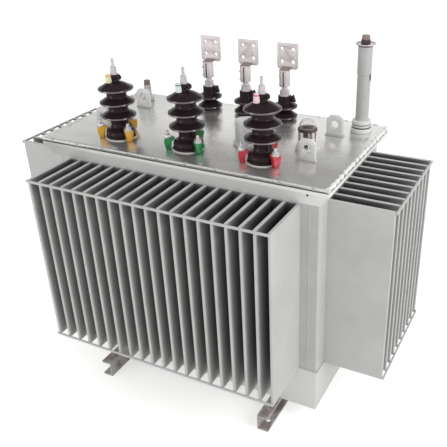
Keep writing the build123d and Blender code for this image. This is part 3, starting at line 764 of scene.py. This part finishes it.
# %% Welds on the lugs and the tank
LUG_HALF, LUG_THICK_HALF = 0.0285, 0.006
SEAM_FOOT, SEAM_HEAD = 0.226, 0.838
POST_SEAMS = ((0.461, 0.2662), (0.4952, 0.232))
lug_low, lug_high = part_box("lifting_lugs")
lug_rows = (lug_low[1] + LUG_THICK_HALF, lug_high[1] - LUG_THICK_HALF)
lug_places = [(sx * (lug_high[0] - LUG_HALF), y) for sx in (-1, 1) for y in lug_rows]
weld("lug_welds", [loop(0.0295, 0.0075, deck + 0.0015, x, y) for x, y in lug_places],
     fitting, "cover_paint", closed=True, Radius=0.0032, Step=0.0022, Ripple=0.25)
weld("base_weld", [loop(0.4965, 0.2675, FIN_FOOT)], tank_enamel, "tank_paint", closed=True,
     Radius=0.0028, Step=0.0025, Ripple=0.25)
posts = [(sx * x, sy * y) for x, y in POST_SEAMS for sx in (-1, 1) for sy in (-1, 1)]
weld("post_welds", [[(x, y, SEAM_FOOT), (x, y, SEAM_HEAD)] for x, y in posts], tank_enamel, "tank_paint",
     Radius=0.0018, Step=0.0025, Ripple=0.3)

# %% [markdown]
# ## High-voltage bushings
# Each bushing is one outline turned on a wheel, just as the potter makes it: a stepped foot, three
# drooping sheds with round lips, and a slim neck with a side ear.

# %% High-voltage porcelain
HV_RIM, LV_RIM = 58, 45
# Width and fade of the painted rim highlight, in millimetres.
RIM_HIGHLIGHT_BAND, RIM_HIGHLIGHT_FADE = 1.1, 0.9


def shed(rim, z, under, above, drop, rise, lip):
    """The outline of one rain shed with a rounded lip, from the body below to the body above."""
    return [(under, z - drop, 4), (rim - lip, z - lip, 2), (rim, z - lip, lip), (rim, z + lip, lip),
            (rim - lip, z + lip, 2), (above + (rim - above) * 0.4, z + lip + (rise - lip) * 0.7, 8),
            (above, z + rise, 5)]


def mark_rim_highlights(made, place, rim, most):
    """Stores how near each point is to a shed's lip, for the painted highlight there."""
    axis = place.translation.xy
    reach = [(vert.co.xy - axis).length / MM for vert in made.data.vertices]
    near = [most * min(max((r - rim + RIM_HIGHLIGHT_BAND) / RIM_HIGHLIGHT_FADE, 0), 1) for r in reach]
    made.data.attributes.new("rim", "FLOAT", "POINT").data.foreach_set("value", near)


hv_outline = [(0, 0.4), (50, 0.4, 2.5), (50.5, 8.5, 2.5), (46, 10.5, 1), (46, 12, 1), (48.5, 13.5, 2),
              (48.5, 25, 4), (43, 31, 4), (31, 37, 5), (28.5, 50, 10)]
for level, above, rise in ((76, 33, 16), (121.5, 33, 16), (167, 13, 24)):
    hv_outline += shed(HV_RIM, level, 33, above, 11, rise, 3)
hv_outline += [(13, 198, 3), (15.5, 203, 2), (15.5, 213, 1.2), (0, 213)]
ear_outline = [(3.5, -7.5), (9, -7.5, 1.5), (9, 7.5, 1.5), (3.5, 7.5, 1), (3.5, -7.5)]
ear = Matrix.Translation((0.015, 0, 0.2037)) @ Matrix.Rotation(pi / 2, 4, "X")
for phase in "abc":
    place = stand("hv_stud_" + phase)
    bm = bmesh.new()
    turn(bm, hv_outline, place, 56)
    turn(bm, ear_outline, place @ ear, 24)
    made = piece("hv_porcelain_" + phase, bm, porcelain, ("hv_bushing_" + phase,), 40)
    mark_rim_highlights(made, place, HV_RIM, 0.5)
print("three high-voltage bushings")

# %% [markdown]
# Each stud carries a nut, a smaller lock nut with its own seed, and a thread on its free end.

# %% High-voltage terminals
for phase in "abc":
    place = stand("hv_stud_" + phase)
    terminal("hv", phase, [
        nuts([at_mm(place, 0, 0, 213)], UP, (12, 3), (11, 11), (4.5, 49.7)),
        nuts([at_mm(place, 0, 0, 227)], UP, (9.8, 1.5), (9.8, 10), (4.5, 30), seed=7),
        grown("thread", thread, [at_mm(place, 0, 0, 238.5)], [], zinc, Radius=0.0044, Pitch=0.0015, Length=0.0235)])
print("three studs with nuts and threads")

# %% [markdown]
# Three hook clamps hold each bushing down. A hook is drawn from the side as radius, height and half
# width, and its edges are rounded like a casting's. A pale gasket lies under the foot, and a small
# bell in the colour of the phase hangs beside the neck.

# %% Clamps, gaskets and tags
CLAMP_WAYS, BOLT_CIRCLE, CLAMP_TOP = [radians(way) for way in (-30, 90, 210)], 66, 39.5
phases = {"a": ("yellow", "yellow"), "b": ("green", "mint"), "c": ("red", "pink")}
hook = [(56, 0.2, 8.5), (72, 0.2, 8.5), (75, 8, 9), (77, 26, 14), (75, 38, 15), (58, 41, 14), (48, 41, 9),
        (43, 38, 8), (42.5, 32.5, 8), (50, 31, 8), (56, 27, 9)]
gasket = [(44, 0.1), (53.5, 0.1, 1), (53.5, 3.2, 1.2), (50, 3.2), (44, 0.1)]
tag_face = [(0, 188), (9.5, 188, 1), (10, 191, 1), (8.9, 214, 2), (6, 216.5, 1.5), (0, 217)]
tag_ring = [(8, 209.5), (9.8, 209.5, 0.6), (9.6, 213, 0.6), (8, 213), (8, 209.5)]
for phase, (colour, tint) in phases.items():
    node = "hv_clamps_" + phase
    place = stand("hv_stud_" + phase)
    enamel = paints["brushed_enamel_" + colour]
    bm = bmesh.new()
    for way in CLAMP_WAYS:
        turned = place @ Matrix.Rotation(way, 4, "Z")
        prism(bm, *([at_mm(turned, r, side * half, h) for r, h, half in hook] for side in (-1, 1)))
    ease(bm, bm.edges[:], 2.2, 3, clamp_overlap=True)
    piece("clamp_castings_" + phase, bm, enamel, (node,), 50)
    tops = [at_mm(place, BOLT_CIRCLE * cos(way), BOLT_CIRCLE * sin(way), CLAMP_TOP) for way in CLAMP_WAYS]
    bolts("clamp_nuts_" + phase, tops, UP, (12.5, 2.5), (11, 9), (5, 22))
    lathe("foot_gasket_" + phase, gasket, place, paints["cork_sheet_pale"], count=56)
    bell = place @ Matrix.Translation((-0.0096, -0.0175, 0))
    face = paints["tag_plastic_" + tint]
    lathe("phase_tag_face_" + phase, tag_face, bell, face, count=28, angle=40)
    lathe("phase_tag_" + phase, tag_ring, bell, enamel, count=28, angle=40)
print("clamps, gaskets and tags for", ", ".join(colour for colour, tint in phases.values()))

# %% [markdown]
# ## Low-voltage bushings
# These are shorter and fatter, with two sheds under a round cap and a wedge at its side. A large nut
# sits on the cap.

# %% Low-voltage bushings
lv_outline = [(0, 0.4), (36, 0.4, 2)] + shed(LV_RIM, 9, 38, 20, 5, 20, 4) + shed(LV_RIM, 45, 20, 24, 16, 13, 4)
lv_outline += [(24, 84, 2.5), (0, 84)]
wedge = [(20, 64), (42, 64), (33, 90), (20, 78)]
for phase in "abc":
    place = stand("lv_stud_" + phase)
    bm = bmesh.new()
    prism(bm, *([at_mm(place, r, side, h) for r, h in wedge] for side in (-8, 8)))
    ease(bm, bm.edges[:], 2, 3)
    turn(bm, lv_outline, place, 48)
    made = piece("lv_porcelain_" + phase, bm, porcelain, ("lv_bushing_" + phase,), 40)
    mark_rim_highlights(made, place, LV_RIM, 0.25)
    terminal("lv", phase, [
        nuts([at_mm(place, 0, 0, 84)], UP, (19, 4), (17, 18), (9.5, 50)),
        grown("thread", thread, [at_mm(place, 0, 0, 106)], [], zinc, Radius=0.0092, Pitch=0.0025, Length=0.0125)])
print("three low-voltage bushings")

# %% [markdown]
# A split clamp grips each low-voltage stud, and two small bolts close its slit. The palm is cut from
# the CAD solid and drawn out a little at its foot. A strip of bent copper joins it to the clamp, painted
# dull grey as painted shade, and two dark strips in and beside the slit are painted shadow.

# %% Palm terminals
PALM_FRONT, FOOT_BAND, FOOT_DROP, FLAT_COPPER = 0.0219, 0.007, 0.006, 300
GRIP_MIDDLE, BEND_HALF, BOLT_OUT, BOLT_ASIDE = 0.146, 18, 23.5, -9.8
mouth_turn = Matrix.Rotation(radians(283), 4, "Z")
grip = [(10.3, 118), (19, 118, 1), (19, 175, 1), (10.3, 175, 0.5), (10.3, 118)]
bend = [(-10, 173), (-10, 176), (4, 176.5), (14, 177.5), (22.5, 181), (22.5, 176), (15, 174), (2, 173)]
painted_slit_shadows = (((0.0192, 0, GRIP_MIDDLE), (0.013, 0.0045, 0.051)), ((0.0165, -0.0112, GRIP_MIDDLE), (0.012, 0.003, 0.051)))
for phase in "abc":
    node = "lv_palm_" + phase
    place = stand("lv_stud_" + phase)
    mouth = place @ mouth_turn
    bm = softened(node, 0.9)
    bmesh.ops.bisect_plane(bm, geom=bm.verts[:] + bm.edges[:] + bm.faces[:], plane_no=(0, 1, 0),
                           plane_co=place.translation + Vector((0, PALM_FRONT, 0)), clear_inner=True)
    bmesh.ops.holes_fill(bm, edges=[edge for edge in bm.edges if edge.is_boundary])
    foot = min(vert.co.z for vert in bm.verts)
    for vert in bm.verts:
        vert.co.z -= FOOT_DROP if vert.co.z < foot + FOOT_BAND else 0
    turn(bm, grip, place, 40)
    for side in (-1, 1):
        block(bm, mouth, (0.0195, side * 0.006, GRIP_MIDDLE), (0.013, 0.008, 0.054), 1.2)
    piece("palm_casting_" + phase, bm, metals["tinned_copper"], (node,), flat_over=FLAT_COPPER)
    # The bent strip: dull tin as painted shade.
    bm = bmesh.new()
    prism(bm, *([at_mm(place, x, y, h) for y, h in bend] for x in (-BEND_HALF, BEND_HALF)))
    piece("palm_bend_" + phase, bm, metals["tin_painted_shade"], angle=50)
    # Dark strips in the slit and beside the left ear: painted shadow.
    bm = bmesh.new()
    for middle, size in painted_slit_shadows:
        block(bm, mouth, middle, size, 0.5)
    piece("palm_painted_slit_shadow_" + phase, bm, paints["nitrile_rubber"])
    spots = [at_mm(mouth, BOLT_OUT, BOLT_ASIDE, level) for level in (132, 160)]
    bolts("palm_bolts_" + phase, spots, mouth.to_3x3() @ Vector((0, -1, 0)), (5.5, 1), (5.2, 4), (2.5, 6))
print("three palm terminals")

# %% [markdown]
# ## Relief valve
# The valve shows its works: a brown spring seat inside a clear sleeve, four tie rods round it, a dark
# ring and a clear dome. Its flange has two ears with a bolt in each.

# %% Relief valve
EAR_OUT, ROD_OUT = 0.029, 0.0275
place = stand("relief_valve_ring")
turned = place @ Matrix.Rotation(radians(30), 4, "Z")
brown, chrome = paints["moulded_plastic_brown"], metals["chrome_plate"]
bm = bmesh.new()
turn(bm, [(0, 0.4), (32, 0.4, 1), (32, 9, 2), (27, 10.5, 1), (27, 12, 1), (0, 12)], place, 48)
for side in (-1, 1):
    turn(bm, [(0, 0.4), (10, 0.4, 1), (10, 9, 2), (0, 9)], turned @ Matrix.Translation((side * EAR_OUT, 0, 0)), 24)
piece("valve_flange", bm, fitting_painted_light, ("relief_valve_body",))
seat = [(0, 12), (17, 12, 1), (17, 26, 2), (13, 30, 2)]
seat += [((15, 12)[i % 2], 32 + 3 * i, 1.2) for i in range(9)] + [(19, 60, 2), (19, 65), (0, 65)]
lathe("valve_spring_seat", seat, place, brown, count=36)
lathe("valve_sleeve", [(24, 12), (25.5, 12, 0.5), (25.5, 65, 0.5), (24, 65, 0.5), (24, 12)],
      place, clear_plastic, count=40)
bm = bmesh.new()
for step in range(4):
    away = turned @ Matrix.Rotation(step * pi / 2, 4, "Z") @ Matrix.Translation((ROD_OUT, 0, 0))
    turn(bm, [(0, 9), (2.6, 9), (2.6, 66), (0, 66)], away, 12)
piece("valve_rods", bm, chrome)
lathe("valve_ring", [(18, 65), (31, 65, 1.2), (31, 73, 2.2), (27, 74, 1), (18, 74), (18, 65)],
      place, brown, ("relief_valve_ring",))
lathe("valve_dome", [(24.6, 71), (26, 71, 0.5), (26, 88, 9), (14, 101, 6), (0, 103), (0, 101.6), (13, 99.6, 5),
                     (24.6, 87, 8), (24.6, 71)],
      place, clear_plastic, ("relief_valve_cap",), count=40)
ears = [turned @ Vector((side * EAR_OUT, 0, 0.009)) for side in (-1, 1)]
bolts("valve_bolts", ears, UP, (7.5, 1.5), (7.5, 6.5), (4, 14))
print("relief valve with its clear sleeve")

# %% [markdown]
# ## Tap changer, thermometer pocket and filler
# The last fittings are turned shapes too. The tap changer sits under a white hood, and the thermometer
# pocket has a ribbed cap. The rib pattern is the `knurl` of `turn`.

# %% Tap changer and thermometer pocket
FEET, FEET_CIRCLE, FEET_TOP = 6, 39.5, 8.8
place = stand("tap_changer_housing")
lathe("tap_changer_hood", [(0, 0.4), (44, 0.4, 1), (44, 9, 2), (37, 11, 1.5), (36, 14, 1), (36, 83, 8), (12, 83, 1),
                           (10, 81.5, 1), (0, 81.5)],
      place, paints["moulded_plastic_white"], ("tap_changer_housing",))
ways = [2 * pi * i / FEET for i in range(FEET)]
feet = [at_mm(place, FEET_CIRCLE * cos(way), FEET_CIRCLE * sin(way), FEET_TOP) for way in ways]
bolts("tap_changer_bolts", feet, UP, (4.2, 1), (4.1, 3.5), (2, 6))
place = stand("thermometer_cap")
lathe("thermometer_pocket_pipe", [(0, 0.4), (22, 0.4, 1), (22, 11, 2), (15, 13, 1), (14, 16, 2), (14, 60, 1),
                                  (12.5, 62), (0, 62)],
      place, fitting, ("thermometer_pocket",), count=36)
lathe("thermometer_ribbed_cap", [(0, 62), (12, 62, 0.5), (12, 79, 1.5), (0, 80)], place,
      paints["moulded_plastic_taupe"], ("thermometer_cap",), knurl=0.9)
print("tap changer and thermometer pocket")

# %% [markdown]
# The filler pipe rises from a grooved union with two rubber seals.

# %% Filler pipe
place = stand("oil_filler_cap")
rubber, dark = paints["nitrile_rubber"], paints["moulded_plastic_dark"]
lathe("filler_union", [(0, 0.4), (36, 0.4, 1), (36, 14, 2.5), (30.5, 15.5, 0.6), (29.5, 18.5, 0.6), (32.5, 20, 1),
                       (32.5, 25, 0.6), (30.8, 26, 0.4), (30.8, 28.5, 0.4), (32.5, 29.5, 0.6), (32.5, 40, 2),
                       (24, 42, 1), (0, 42)], place, fitting_painted_light)
bm = bmesh.new()
for inner, outer, foot, head, soft in ((30.9, 32.6, 15.6, 18.6, 0.4), (30.9, 32, 26.3, 28.2, 0.3)):
    turn(bm, [(inner, foot), (outer, foot, soft), (outer, head, soft), (inner, head), (inner, foot)], place, 48)
piece("filler_union_seals", bm, rubber)
lathe("filler_pipe", [(0, 40), (24, 40, 0.5), (24, 43.5, 1), (22, 46, 1.5), (22, 194, 0.5), (23.5, 196, 0.6),
                      (23.5, 290, 0.3), (0, 290)],
      place, fitting, ("oil_filler_pipe", "level_gauge_head"))
print("filler pipe")

# %% [markdown]
# On the pipe's head lie a gasket, a dished plate and a ribbed plug, and a long window in its side shows
# the oil level. A small plug closes a hole in the top frame.

# %% Filler head, level window and frame plug
WINDOW_OUT, WINDOW_UP = 0.0222, 0.188
lathe("filler_plate", [(0, 290.2), (30, 290.2, 2), (33, 294, 0.8), (32.4, 295.6, 0.6), (29, 292.6, 2), (0, 292.6)],
      place, zinc)
lathe("filler_gasket", [(10, 286), (24.3, 286, 0.5), (24.3, 290.2, 0.5), (10, 290.2), (10, 286)],
      place, rubber, count=40)
lathe("filler_ring", [(0, 292.6), (15, 292.6, 0.5), (15, 307, 1.2), (0, 307)],
      place, brown, ("oil_filler_cap",), knurl=1.0)
lathe("filler_plug", [(0, 307), (13, 307, 0.5), (13, 320.5, 1.5), (0, 321.6)],
      place, paints["moulded_plastic_tan"], count=40, knurl=1.1)
way = Vector((0.985, -0.17, 0)).normalized()
window = place @ Matrix.Translation(way * WINDOW_OUT + Vector((0, 0, WINDOW_UP)))
window = window @ way.to_track_quat("Z", "Y").to_matrix().to_4x4()
lathe("level_window", [(0, 0), (3.4, 0), (3.4, 2.2, 0.6), (0, 2.4)], window @ Matrix.Diagonal((0.9, 3.8, 1, 1)),
      dark, count=28)
low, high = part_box("top_frame")
plug = Matrix.Translation((0.458, low[1] + 0.001, high[2] - 0.004)) @ Matrix.Rotation(pi / 2, 4, "X")
lathe("frame_plug", [(0, -3), (3.4, -3), (3.4, 2, 1), (1.9, 2, 0.4), (1.7, 0.6), (0, 0.6)], plug,
      dark, count=20)
print("filler head, level window and frame plug")
